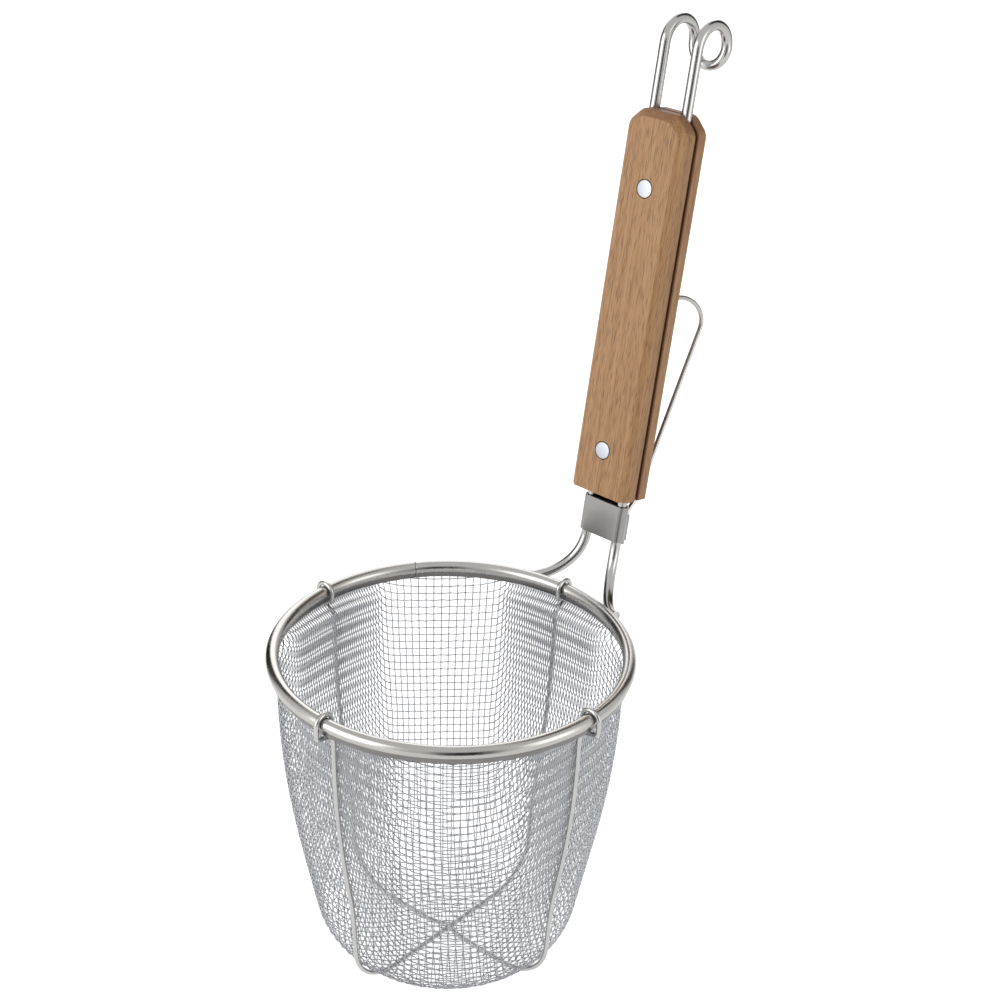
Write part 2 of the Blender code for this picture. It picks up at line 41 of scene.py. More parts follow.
# Sizes that several pieces share, as in the CAD
rollRadius = 2.75
rollCentreRadius = 72.25
rimHeight = 141.4  # the roll's centre above the base
rodRadius = 2.25
halfSpacing = 8.175  # between the handle's middle and each leg
touchGap = 0.3
handleLean = radians(9.09)
handleOffset = 90.32
ribRadius = 1.0
ribOffset = ribRadius + touchGap
ribHeight = 0.6
baseHeight = ribHeight + ribOffset


# Shapes: points are numpy rows

def bezier(start, startPull, endPull, end, steps):
    t = np.linspace(0, 1, steps + 1)[1:, None]
    s = 1 - t
    a, b, c, d = map(np.asarray, (start, startPull, endPull, end))
    return s**3 * a + 3 * s * s * t * b + 3 * s * t * t * c + t**3 * d


def arc(centre, radius, start, end, steps):
    angles = np.linspace(start, end, steps + 1)
    return np.asarray(centre) + radius * np.stack([np.cos(angles), np.sin(angles)], 1)


def unit(rows):
    return rows / np.maximum(np.linalg.norm(rows, axis=-1, keepdims=True), 1e-12)


def roundCorners(points, radius, steps=3):
    # fillets the inner corners of an open flat line
    points = [np.asarray(p, float) for p in points]
    made = [points[0]]
    for before, corner, after in zip(points, points[1:], points[2:]):
        reach = min(radius, np.linalg.norm(corner - before) / 2, np.linalg.norm(after - corner) / 2)
        first = corner + reach * unit(before - corner)
        last = corner + reach * unit(after - corner)
        for t in np.linspace(0, 1, steps + 1):
            made.append((1 - t) ** 2 * first + 2 * t * (1 - t) * corner + t * t * last)
    return np.array(made + [points[-1]])


def handlePoints(rows):
    # rows of (across, back, up) in the handle's frame, turned into the object's frame
    across, back, up = np.asarray(rows, float).T
    y = handleOffset + up * sin(handleLean) + back * cos(handleLean)
    z = rimHeight + up * cos(handleLean) - back * sin(handleLean)
    return np.stack([across, y, z], 1)


def sweptTube(points, radius, sides, dome):
    # a round wire along points, its ends rounded over by dome
    points = np.asarray(points, float)
    ahead = np.vstack([points[1:], 2 * points[-1:] - points[-2:-1]])
    behind = np.vstack([2 * points[:1] - points[1:2], points[:-1]])
    along = unit(ahead - behind)
    side = unit(np.cross(along[0], (0.31, 0.87, 0.38)))  # no wire here starts out along that
    sideways = []
    for direction in along:
        side = unit(side - direction * (side @ direction))
        sideways.append(side)
    sideways = np.array(sideways)
    bend = np.linspace(0, pi / 2, 5)
    back, ringRadii = dome * (1 - np.sin(bend))[:, None], radius - dome * (1 - np.cos(bend))
    first, last = points[0] + along[0] * back[::-1], points[-1] - along[-1] * back
    radii = np.concatenate([ringRadii[::-1], np.full(len(points) - 2, float(radius)), ringRadii])
    copies = [len(bend)] + [1] * (len(points) - 2) + [len(bend)]
    points = np.vstack([first, points[1:-1], last])
    along, sideways = np.repeat(along, copies, 0), np.repeat(sideways, copies, 0)
    turn = np.arange(sides) * 2 * pi / sides
    up = np.cross(along, sideways)
    ring = sideways[:, None] * np.cos(turn)[None, :, None] + up[:, None] * np.sin(turn)[None, :, None]
    places = (points[:, None] + ring * radii[:, None, None]).reshape(-1, 3)
    return places, tubeFaces(len(points), sides)


def tubeFaces(rings, sides, closed=False):
    # quads between rings of points, and a cap at each end unless the last ring meets the first
    count = rings if closed else rings - 1
    ring, side = np.meshgrid(np.arange(count), np.arange(sides), indexing="ij")
    onward, beside = (ring + 1) % rings, (side + 1) % sides
    near, far = ring * sides, onward * sides
    faces = np.stack([near + side, near + beside, far + beside, far + side], -1).reshape(-1, 4).tolist()
    if not closed:
        faces.append(list(range(sides))[::-1])
        faces.append(list(range((rings - 1) * sides, rings * sides)))
    return faces


def turnedShape(profile, steps, closedProfile=False, extra=()):
    # a profile of (radius, height) rows turned about Z, with extra angles where more detail comes
    angles = np.sort(np.append(np.arange(steps) * 2 * pi / steps, extra))
    radius, height = profile.T
    places = np.stack([radius[:, None] * np.cos(angles), radius[:, None] * np.sin(angles),
                       np.repeat(height[:, None], len(angles), 1)], -1)
    return places.reshape(-1, 3), tubeFaces(len(profile), len(angles), closedProfile)


def makePiece(name, shape, finish, body, replaced=(), sharp=40.0):
    places, faces = shape
    mesh = bpy.data.meshes.new(name)
    mesh.from_pydata((np.asarray(places) * mm).tolist(), [], faces)
    mesh.validate()
    mesh.materials.append(finish)
    mesh.shade_smooth()
    mesh.set_sharp_from_angle(angle=radians(sharp))
    piece = bpy.data.objects.new(name, mesh)
    bpy.context.scene.collection.objects.link(piece)
    if body:
        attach(piece, body)
        if replaced:
            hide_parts(*replaced)
    return piece


def cutAndJoin(piece, joined, cutters):
    # booleans with loose helper objects, which go once the result is in the mesh
    for helper, operation in [(h, "UNION") for h in joined] + [(h, "DIFFERENCE") for h in cutters]:
        boolean = piece.modifiers.new(helper.name, "BOOLEAN")
        boolean.operation, boolean.object, boolean.solver = operation, helper, "EXACT"
    bpy.context.view_layer.update()
    result = bpy.data.meshes.new_from_object(piece.evaluated_get(bpy.context.evaluated_depsgraph_get()))
    piece.modifiers.clear()
    piece.data = result
    result.shade_smooth()
    result.set_sharp_from_angle(angle=radians(32))
    for helper in list(joined) + list(cutters):
        bpy.data.objects.remove(helper)


# Materials: one function turns sRGB hex to linear, one adds a node

def linear(hexColour, alpha=1.0):
    parts = [int(hexColour[i:i + 2], 16) / 255 for i in (0, 2, 4)]
    return (*[p / 12.92 if p <= 0.04045 else ((p + 0.055) / 1.055) ** 2.4 for p in parts], alpha)


def addNode(tree, kind, settings=None, links=None):
    node = tree.nodes.new(kind)
    for key, value in (settings or {}).items():
        if isinstance(key, str) and hasattr(node, key):
            setattr(node, key, value)
        else:
            node.inputs[key].default_value = value
    for key, source in (links or {}).items():
        tree.links.new(source, node.inputs[key])
    return node


def newMaterial(name):
    made = bpy.data.materials.new(name)
    made.use_nodes = True
    made.node_tree.nodes.clear()
    return made, made.node_tree


def finishWith(tree, shader):
    addNode(tree, "ShaderNodeOutputMaterial", {}, {"Surface": shader.outputs[0]})


grainDepth = 0.01  # of every steel's finish


def steel(name, look):
    # stainless steel: grey metal whose blur and shade drift a little, from the rolling, drawing or polishing
    made, tree = newMaterial(name)
    place = addNode(tree, "ShaderNodeTexCoord").outputs["Object"]
    if "stretch" in look:
        place = addNode(tree, "ShaderNodeMapping", {"Rotation": (handleLean, 0, 0), "Scale": look["stretch"]},
                        {"Vector": place}).outputs[0]
    drift = addNode(tree, "ShaderNodeTexNoise", {"Scale": 1 / (look["driftSize"] * mm), "Detail": 3.0},
                    {"Vector": place})
    fine = addNode(tree, "ShaderNodeTexNoise", {"Scale": 1 / (look["grainSize"] * mm), "Detail": 2.0},
                   {"Vector": place})
    low, high = look["roughness"]
    blur = addNode(tree, "ShaderNodeMapRange",
                   {"From Min": 0.3, "From Max": 0.7, "To Min": low, "To Max": high}, {"Value": drift.outputs[0]})
    tone = addNode(tree, "ShaderNodeMix",
                   {"data_type": "RGBA", 6: linear(look["dark"]), 7: linear(look["light"])}, {0: drift.outputs[0]})
    bump = addNode(tree, "ShaderNodeBump", {"Strength": look["bump"], "Distance": grainDepth * mm},
                   {"Height": fine.outputs[0]})
    shader = addNode(tree, "ShaderNodeBsdfPrincipled", {"Metallic": 1.0},
                     {"Base Color": tone.outputs[2], "Roughness": blur.outputs[0], "Normal": bump.outputs[0]})
    finishWith(tree, shader)
    return made


# Drawn bright wire, woven: a soft bright line along each thread, duller in places from rubbing
clothSteel = steel("wovenWireSteel", {
    "dark": "9FA1A4", "light": "B5B6BA", "roughness": (0.2, 0.3),
    "driftSize": 4.0, "grainSize": 0.3, "bump": 0.15,
})
# Rolled sheet, satin from pickling: soft wide highlights with faint clouding
sheetSteel = steel("satinSheetSteel", {
    "dark": "A3A19D", "light": "B3B1AD", "roughness": (0.22, 0.3),
    "driftSize": 14.0, "grainSize": 0.4, "bump": 0.1,
})
# The same sheet on the skirts below the roll: painted darker as painted shade under the roll, with a blurred shine
shadedSkirtSteel = steel("skirtPaintedShadeSteel", {
    "dark": "6C6B69", "light": "7C7A78", "roughness": (0.28, 0.36),
    "driftSize": 8.0, "grainSize": 0.4, "bump": 0.15,
})
# The same sheet inside the roll: dull, and painted dark as painted shade inside the closed roll
rollInsidePaintedShadeSteel = steel("rollInsidePaintedShadeSteel", {
    "dark": "2E2C2A", "light": "454340", "roughness": (0.45, 0.6),
    "driftSize": 5.0, "grainSize": 0.4, "bump": 0.1,
})
# The sleeve's sheet, brushed across, with faint lines across it; its greyer tone is painted reflection of the dark
# surroundings its flat faces mirror
sleeveDarkReflectionSteel = steel("brushedSleevePaintedReflectionSteel", {
    "dark": "858482", "light": "949392", "roughness": (0.2, 0.26),
    "driftSize": 22.0, "grainSize": 0.5, "bump": 0.2, "stretch": (0.08, 1.0, 1.0),
})
# Electropolished wire and rod: bright, with a shade that drifts slowly along them
ribSteel = steel("polishedRibSteel", {
    "dark": "A9A9A7", "light": "B9B8B6", "roughness": (0.2, 0.28),
    "driftSize": 12.0, "grainSize": 0.5, "bump": 0.06,
})
rodSteel = steel("polishedRodSteel", {
    "dark": "A5A4A2", "light": "B4B3B1", "roughness": (0.19, 0.25),
    "driftSize": 16.0, "grainSize": 0.6, "bump": 0.06,
})
# Spring wire: drawn hard, so a little duller than the rod
clipSteel = steel("springWireSteel", {
    "dark": "A2A09D", "light": "B4B2AF", "roughness": (0.2, 0.28),
    "driftSize": 12.0, "grainSize": 0.4, "bump": 0.06,
})


def rivetAluminium():
    # pressed aluminium: pale, matt and faintly clouded from the press tool
    made, tree = newMaterial("pressedAluminium")
    place = addNode(tree, "ShaderNodeTexCoord").outputs["Object"]
    cloud = addNode(tree, "ShaderNodeTexNoise", {"Scale": 1 / (1.5 * mm), "Detail": 3.0}, {"Vector": place})
    blur = addNode(tree, "ShaderNodeMapRange", {"To Min": 0.34, "To Max": 0.5}, {"Value": cloud.outputs[0]})
    tone = addNode(tree, "ShaderNodeMix", {"data_type": "RGBA", 6: linear("A4A7AD"), 7: linear("B6B9BE")},
                   {0: cloud.outputs[0]})
    bump = addNode(tree, "ShaderNodeBump", {"Strength": 0.2, "Distance": 0.02 * mm},
                   {"Height": cloud.outputs[0]})
    shader = addNode(tree, "ShaderNodeBsdfPrincipled", {"Metallic": 1.0},
                     {"Base Color": tone.outputs[2], "Roughness": blur.outputs[0], "Normal": bump.outputs[0]})
    finishWith(tree, shader)
    return made


wood = {
    "pale": "BC9268", "mid": "AA7E54", "dark": "7D5230", "pore": "5A371E",
    # parting is the painted shade of the gap between the scales, reaching partingReach over their edges
    "endGrain": "7E5030", "parting": "6A3C20", "partingReach": 1.1,
    "poreWidth": 0.38, "poreLength": 6.5,  # several times a real pore, or they wouldn't show
    "streakWidth": 0.8, "streakLength": 30.0, "bandWidth": 2.4, "bandLength": 90.0,
}


def sealedHardwood():
    # straight-grained hardwood, planed and sealed matt: short dark pores and soft bands along the grip
    made, tree = newMaterial("sealedHardwood")
    place = addNode(tree, "ShaderNodeTexCoord").outputs["Object"]
    upright = addNode(tree, "ShaderNodeMapping", {"Rotation": (handleLean, 0, 0)}, {"Vector": place})

    def stretched(width, length, detail, shift=0.0):
        scale = (1 / (width * mm), 1 / (width * mm), 1 / (length * mm))
        moved = addNode(tree, "ShaderNodeMapping", {"Scale": scale, "Location": (shift, shift, shift)},
                        {"Vector": upright.outputs[0]})
        return addNode(tree, "ShaderNodeTexNoise", {"Scale": 1.0, "Detail": detail, "Roughness": 0.6},
                       {"Vector": moved.outputs[0]}).outputs[0]

    band = stretched(wood["bandWidth"], wood["bandLength"], 3.0)
    streak = stretched(wood["streakWidth"], wood["streakLength"], 3.0, 4.0)
    pore = stretched(wood["poreWidth"], wood["poreLength"], 1.0, 9.0)
    bandShare = addNode(tree, "ShaderNodeMapRange", {"From Min": 0.32, "From Max": 0.68}, {"Value": band})
    ground = addNode(tree, "ShaderNodeMix",
                     {"data_type": "RGBA", 6: linear(wood["mid"]), 7: linear(wood["pale"])},
                     {0: bandShare.outputs[0]})
    streakShare = addNode(tree, "ShaderNodeMapRange",
                          {"From Min": 0.52, "From Max": 0.75, "To Max": 0.55}, {"Value": streak})
    streaked = addNode(tree, "ShaderNodeMix", {"data_type": "RGBA", 7: linear(wood["dark"])},
                       {0: streakShare.outputs[0], 6: ground.outputs[2]})
    poreShare = addNode(tree, "ShaderNodeMapRange",
                        {"From Min": 0.55, "From Max": 0.65, "To Max": 0.55}, {"Value": pore})
    pored = addNode(tree, "ShaderNodeMix", {"data_type": "RGBA", 7: linear(wood["pore"])},
                    {0: poreShare.outputs[0], 6: streaked.outputs[2]})
    # cut ends drink more of the sealer and go darker
    facing = addNode(tree, "ShaderNodeVectorMath",
                     {"operation": "DOT_PRODUCT", 1: (0, sin(handleLean), cos(handleLean))},
                     {0: addNode(tree, "ShaderNodeNewGeometry").outputs["Normal"]})
    steep = addNode(tree, "ShaderNodeMath", {"operation": "ABSOLUTE"}, {0: facing.outputs["Value"]})
    endShare = addNode(tree, "ShaderNodeMapRange", {"From Min": 0.35, "From Max": 0.9, "To Max": 0.7},
                       {"Value": steep.outputs[0]})
    ended = addNode(tree, "ShaderNodeMix", {"data_type": "RGBA", 7: linear(wood["endGrain"])},
                    {0: endShare.outputs[0], 6: pored.outputs[2]})
    # painted shade: the faces between the scales, and their edges, are darkened as the shade in the gap between
    # them
    middle = (handleOffset * cos(handleLean) - rimHeight * sin(handleLean)) * mm
    depth = addNode(tree, "ShaderNodeMath", {"operation": "SUBTRACT", 1: middle},
                    {0: addNode(tree, "ShaderNodeSeparateXYZ", {}, {0: upright.outputs[0]}).outputs["Y"]})
    away = addNode(tree, "ShaderNodeMath", {"operation": "ABSOLUTE"}, {0: depth.outputs[0]})
    near, far = grip["gap"] / 2 * mm, (grip["gap"] / 2 + wood["partingReach"]) * mm
    partingShadeShare = addNode(tree, "ShaderNodeMapRange",
                       {"From Min": near, "From Max": far, "To Min": 0.85, "To Max": 0.0},
                       {"Value": away.outputs[0]})
    colour = addNode(tree, "ShaderNodeMix", {"data_type": "RGBA", 7: linear(wood["parting"])},
                     {0: partingShadeShare.outputs[0], 6: ended.outputs[2]})
    sunk = addNode(tree, "ShaderNodeMath", {"operation": "ADD"},
                   {0: poreShare.outputs[0], 1: streakShare.outputs[0]})
    bump = addNode(tree, "ShaderNodeBump", {"Strength": 0.35, "Distance": 0.08 * mm, "invert": True},
                   {"Height": sunk.outputs[0]})
    blur = addNode(tree, "ShaderNodeMapRange", {"To Min": 0.5, "To Max": 0.66}, {"Value": streak})
    shader = addNode(tree, "ShaderNodeBsdfPrincipled", {"IOR": 1.5},
                     {"Base Color": colour.outputs[2], "Roughness": blur.outputs[0], "Normal": bump.outputs[0]})
    finishWith(tree, shader)
    return made


aluminium = rivetAluminium()
print("materials made")


# The basket: one flat piece of woven cloth, drawn deep, its cells closing to diamonds away from its four sides

basket = {
    "wallInset": 0.5,  # half the CAD's solid wall
    # the wall's section: a flat base, a round corner and a long easy curve
    "flatRadius": 32.15, "cornerRadius": 24.5, "wallBaseLean": radians(12.4), "wallBasePull": 42.5,
    "wallTopRadius": 70.83, "wallTopPull": 43.7, "neckDrop": 7.6, "baseRise": 2.6,
    "mouthRadius": 72.75, "mouthDrop": 4.2, "tuckDrop": 2.6, "spare": 6.0,  # spare cloth is trimmed at the tuck
    "drawIn": 5.0, "drawInTopRun": 6.0, "drawInBaseRun": 50.0,  # the tight ribs pull the wall in beside them
    "wireRadius": 0.258, "crimp": 0.22, "wireSides": 5, "stepsPerCell": 3,
    "pitchFlat": 3.2, "pitchUp": 3.43, "pitchRound": 3.05,  # between threads: base, up and round the wall
    "drawStart": 40.0, "drawEnd": 85.0,  # between these distances from the middle the spacing changes
    "turn": radians(2.0), "nodes": 64,
    # how the press left the wall: open cells in four bands, closed diamonds between them, with angles in degrees
    # from the middle of the front or back band, and distances from the middle of the base along the cloth
    "openEdge": 23.0, "openBlend": 2.0, "sideEdge": 68.0, "sideBlend": 5.0,
    "openPitchLow": 3.0, "openPitchTop": 3.5, "openPitchFrom": 70.0, "openPitchRun": 60.0,
    "openNarrowing": 0.2, "smile": 0.11, "tightAngle": 39.0, "tightWidth": 12.0, "tightness": 0.32,
    "bandsStart": 44.0, "settleStart": 50.0, "settleEnd": 105.0,
}


def basketWall(steps):
    # the cloth's outer side from its neck down to the flat of the base
    b = basket
    neck = np.array([b["wallTopRadius"], rimHeight - b["neckDrop"]])
    centre = np.array([b["flatRadius"], baseHeight + b["cornerRadius"]])
    lean = b["wallBaseLean"]
    foot = centre + b["cornerRadius"] * np.array([cos(lean), -sin(lean)])
    upTheWall = np.array([sin(lean), cos(lean)])
    wall = bezier(neck, neck - (0, b["wallTopPull"]), foot + b["wallBasePull"] * upTheWall, foot, steps)
    corner = arc(centre, b["cornerRadius"], -lean, -pi / 2, steps // 2)
    return np.vstack([neck[None], wall, corner[1:]])


def drawnIn(height, fromRib):
    # how far the ribs pull the cloth in, by height and by angle from a rib
    b = basket
    below, above = rimHeight - b["mouthDrop"] - height, height - baseHeight
    run = np.clip(np.minimum(below / b["drawInTopRun"], above / b["drawInBaseRun"]), 0, 1)
    return b["drawIn"] * (1 - np.cos(pi * run)) / 2 * (1 + np.cos(4 * fromRib)) / 2


def shiftedLine(points, distance):
    # a flat line moved sideways, to the left of its way
    along = unit(np.gradient(points, axis=0))
    return points + distance * np.stack([-along[:, 1], along[:, 0]], 1)


def clothLine():
    # the cloth's middle as (radius, height), from the centre of the base to above its edge, and the way along it
    b = basket
    share = np.linspace(0, 1, 60)[:-1]
    base = np.stack([b["flatRadius"] * share, baseHeight + b["baseRise"] * (1 + np.cos(pi * share)) / 2], 1)
    wall = basketWall(200)[::-1]
    ease = np.linspace(0, 1, 13)[1:]
    climb = rimHeight - b["neckDrop"] + ease * (b["neckDrop"] - b["mouthDrop"])
    flare = b["wallTopRadius"] + (b["mouthRadius"] - b["wallTopRadius"]) * (1 - np.cos(pi * ease)) / 2
    above = np.array([[b["mouthRadius"], rimHeight + b["spare"]]])
    line = np.vstack([base, wall, np.stack([flare, climb], 1), above])
    line = shiftedLine(line, b["wallInset"])
    line[0, 0] = 0
    way = np.append(0, np.cumsum(np.linalg.norm(np.diff(line, axis=0), axis=1)))
    return way, line


clothWay, clothProfile = clothLine()


def onCloth(way, angle):
    # angle from the middle of an open band; the ribs stand half way between two bands
    height = np.interp(way, clothWay, clothProfile[:, 1])
    radius = np.interp(way, clothWay, clothProfile[:, 0]) - drawnIn(height, angle - pi / 4)
    return np.stack([radius * np.cos(angle), radius * np.sin(angle), height], -1)


def pitches(way):
    # the thread spacing up and round the cloth
    b = basket
    share = np.clip((way - b["drawStart"]) / (b["drawEnd"] - b["drawStart"]), 0, 1)
    up, along = b["pitchUp"] - b["pitchFlat"], b["pitchRound"] - b["pitchFlat"]
    return b["pitchFlat"] + share * up, b["pitchFlat"] + share * along


def countUp():
    # how many cells lie along a principal thread up to each distance from the middle
    up = pitches(clothWay)[0]
    return np.append(0, np.cumsum(np.diff(clothWay) * 2 / (up[1:] + up[:-1])))


def stretchFrom(way, angle, other):
    # squared distance from nodes to their neighbours, in cells, less the one that it should be
    place = onCloth(way, angle)
    up, along = pitches(way)
    radius, otherRadius = np.hypot(place[:, 0], place[:, 1]), np.hypot(other[:, 0], other[:, 1])
    climb = (radius - otherRadius) ** 2 + (place[:, 2] - other[:, 2]) ** 2
    sweep = ((place - other) ** 2).sum(1) - climb
    return climb / up**2 + sweep / along**2 - 1


def quarterNet():
    # each crossing lies one cell from the crossings before it on both of its wires, which Newton's steps find
    n, steps, tiny, tolerance, firstGuess = basket["nodes"], 40, 1e-4, 1e-3, 2.2
    line = np.interp(np.arange(n + 1), countUp(), clothWay, right=np.nan)
    way = np.full((n + 1, n + 1), np.nan)
    angle = way.copy()
    way[:, 0] = way[0] = line
    angle[:, 0], angle[0], angle[0, 0] = 0, pi / 2, 0
    place = onCloth(way, angle)
    place[np.isnan(way)] = np.nan
    for diagonal in range(2, 2 * n + 1):
        i = np.arange(max(1, diagonal - n), min(n, diagonal - 1) + 1)
        j = diagonal - i
        ready = np.isfinite(way[i - 1, j]) & np.isfinite(way[i, j - 1])
        i, j = i[ready], j[ready]
        if not len(i):
            continue
        first, second = place[i - 1, j], place[i, j - 1]
        guess = first + second - place[i - 1, j - 1]
        s = np.maximum(way[i - 1, j], way[i, j - 1]) + firstGuess
        t = np.arctan2(guess[:, 1], guess[:, 0])
        for step in range(steps):
            f, g = stretchFrom(s, t, first), stretchFrom(s, t, second)
            fs = (stretchFrom(s + tiny, t, first) - f) / tiny
            ft = (stretchFrom(s, t + tiny, first) - f) / tiny
            gs = (stretchFrom(s + tiny, t, second) - g) / tiny
            gt = (stretchFrom(s, t + tiny, second) - g) / tiny
            det = fs * gt - ft * gs
            det = np.where(abs(det) < 1e-9, 1e-9, det)  # so that nothing is divided by zero
            s = s - np.clip((f * gt - g * ft) / det, -1.5, 1.5)
            t = t - np.clip((fs * g - gs * f) / det, -0.1, 0.1)
        missed = np.maximum(abs(stretchFrom(s, t, first)), abs(stretchFrom(s, t, second))) > tolerance
        bad = missed | (s > clothWay[-1])
        way[i, j], angle[i, j] = np.where(bad, np.nan, s), np.where(bad, np.nan, t)
        found = onCloth(s, t)
        found[bad] = np.nan
        place[i, j] = found
    return way, angle


def bandTables():
    # counts of both sets of threads round the wall, by half degrees from an open band's middle and by way up
    b = basket
    angle = np.linspace(0, 90, 181)
    ways = np.arange(b["bandsStart"], clothWay[-1], 2.0)
    radius = np.interp(ways, clothWay, clothProfile[:, 0])[:, None]
    height = np.interp(ways, clothWay, clothProfile[:, 1])[:, None]
    total = np.interp(ways, clothWay, countUp())[:, None]
    near = 1 / (1 + np.exp((angle - b["openEdge"]) / b["openBlend"] * 2))
    far = 1 / (1 + np.exp((b["sideEdge"] - angle) / b["sideBlend"] * 2))
    between = 1 - near - far
    climbed = np.clip((height - b["openPitchFrom"]) / b["openPitchRun"], 0, 1)
    pitch = b["openPitchLow"] + (b["openPitchTop"] - b["openPitchLow"]) * climbed
    tight = between * (1 + b["tightness"] * np.exp(-((angle - b["tightAngle"]) / b["tightWidth"]) ** 2))
    step = np.radians(angle[1]) * radius

    def summed(density):
        between = (density[:, 1:] + density[:, :-1]) / 2
        return np.hstack([np.zeros((len(ways), 1)), np.cumsum(between * step, 1)])

    def counts(openShare, openAngle, smileShare, smileAngle):
        fixed = openShare * (1 + b["openNarrowing"] * (openAngle / b["openEdge"]) ** 2) / pitch
        fixed = fixed + smileShare * b["smile"] * smileAngle / b["openEdge"]
        fixedCount, tightCount = summed(fixed), summed(np.repeat(tight[None], len(ways), 0))
        return fixedCount + tightCount * (total - fixedCount[:, -1:]) / tightCount[:, -1:]

    first = counts(near, angle, far, 90 - angle)
    second = counts(far, 90 - angle, near, angle)
    return ways, first, second[:, -1:] - second


def tableAt(table, ways, angle, way):
    # between the table's rows and columns
    row = np.clip((way - ways[0]) / (ways[1] - ways[0]), 0, len(ways) - 1.001)
    column = np.clip(angle * 2, 0, table.shape[1] - 1.001)
    i, j = row.astype(int), column.astype(int)
    u, v = row - i, column - j
    return ((table[i, j] * (1 - v) + table[i, j + 1] * v) * (1 - u)
            + (table[i + 1, j] * (1 - v) + table[i + 1, j + 1] * v) * u)


def settledNet():
    # the even net, its wall eased towards the bands that the press leaves, found by turns and by halving
    b, turns, halvings, easing = basket, 30, 14, 0.6
    way, angle = quarterNet()
    ways, first, second = bandTables()
    n = b["nodes"]
    i, j = np.meshgrid(np.arange(n + 1), np.arange(n + 1), indexing="ij")
    moved = np.isfinite(way) & (way > ways[0]) & (i > 0) & (j > 0)
    s, t, i, j = way[moved], np.degrees(angle[moved]), i[moved], j[moved]
    for turn in range(turns):
        low, high = np.zeros_like(t), np.full_like(t, 90.0)
        for halving in range(halvings):
            t = (low + high) / 2
            less = tableAt(first, ways, t, s) - tableAt(second, ways, t, s) < j - i
            low, high = np.where(less, t, low), np.where(less, high, t)
        miss = tableAt(first, ways, t, s) + tableAt(second, ways, t, s) - i - j
        s = np.clip(s - miss * easing * b["pitchUp"], ways[0], ways[-1])
    share = np.clip((way[moved] - b["settleStart"]) / (b["settleEnd"] - b["settleStart"]), 0, 1)
    share = share * share * (3 - 2 * share)
    way[moved] = way[moved] * (1 - share) + s * share
    angle[moved] = angle[moved] * (1 - share) + np.radians(t) * share
    return way, onCloth(way, angle)


def wholeNet():
    # every crossing's place, and the way out of the basket there
    n = basket["nodes"]
    way, place = settledNet()
    place[np.isnan(way)] = np.nan
    i, j = np.meshgrid(np.arange(n + 1), np.arange(n + 1), indexing="ij")
    allWay = np.full((2 * n + 1, 2 * n + 1), np.nan)
    allPlace = np.full((2 * n + 1, 2 * n + 1, 3), np.nan)
    for quarter, (a, b) in enumerate(((i, j), (-j, i), (-i, -j), (j, -i))):
        turn = basket["turn"] - pi / 4 + quarter * pi / 2
        if quarter:  # each quarter mirrors the one before it
            way, place = way.T, place.swapaxes(0, 1)[..., [1, 0, 2]]
        x, y = place[..., 0], place[..., 1]
        spun = np.stack([x * cos(turn) - y * sin(turn), x * sin(turn) + y * cos(turn), place[..., 2]], -1)
        allWay[a + n, b + n], allPlace[a + n, b + n] = way, spun
    slope = unit(np.gradient(clothProfile, clothWay, axis=0))
    radial = np.interp(allWay, clothWay, slope[:, 1])
    radius = np.maximum(np.hypot(allPlace[..., 0], allPlace[..., 1]), 1e-9)
    out = np.stack([radial * allPlace[..., 0] / radius, radial * allPlace[..., 1] / radius,
                    -np.interp(allWay, clothWay, slope[:, 0])], -1)
    return allPlace, unit(out)


def wovenStrand(nodes, out, lift):
    # one wire over and under its neighbours; lift is 1 where it passes outside, -1 inside
    steps = basket["stepsPerCell"]
    cell = np.repeat(np.arange(len(nodes) - 1), steps)
    u = np.tile(np.arange(steps) / steps, len(nodes) - 1)[:, None]
    line = nodes[cell] * (1 - u) + nodes[cell + 1] * u
    away = out[cell] * (1 - u) + out[cell + 1] * u
    rise = lift[cell][:, None] * np.cos(pi * u)
    line = np.vstack([line, nodes[-1:]])
    away = unit(np.vstack([away, out[-1:]]))
    rise = np.vstack([rise, [[lift[-1]]]])
    line = line + away * rise * basket["crimp"]
    kept = line[:, 2] < rimHeight - basket["tuckDrop"]
    line, away = line[kept], away[kept]
    if len(line) < 4:
        return None
    along = unit(np.gradient(line, axis=0))
    across = unit(np.cross(along, away))
    up = np.cross(across, along)
    angles = 2 * pi * np.arange(basket["wireSides"]) / basket["wireSides"]
    ring = across[:, None] * np.cos(angles)[None, :, None] + up[:, None] * np.sin(angles)[None, :, None]
    return (line[:, None] + ring * basket["wireRadius"]).reshape(-1, 3)


def wovenCloth():
    places, out = wholeNet()
    n, sides = basket["nodes"], basket["wireSides"]
    for name, swap, halves in (("warp", False, ("Left", "Right")), ("weft", True, ("Front", "Back"))):
        nodes, normals = (places.swapaxes(0, 1), out.swapaxes(0, 1)) if swap else (places, out)
        for half, rows in zip(halves, (range(0, n), range(n, 2 * n + 1))):
            points, faces, start = [], [], 0
            for row in rows:
                there = np.flatnonzero(np.isfinite(nodes[:, row, 0]))
                if len(there) < 3:
                    continue
                lift = np.where((there + row) % 2 == int(swap), 1.0, -1.0)
                strand = wovenStrand(nodes[there, row], normals[there, row], lift)
                if strand is None:
                    continue
                points.append(strand)
                tube = tubeFaces(len(strand) // sides, sides)
                faces += [[start + corner for corner in face] for face in tube]
                start += len(strand)
            makePiece(name + "Wires" + half, (np.vstack(points), faces), clothSteel, "strainer",
                      ("mesh_basket",), 80)


wovenCloth()
print("cloth woven")


# The rim: sheet rolled round a core ring, its two skirts pinching the cloth

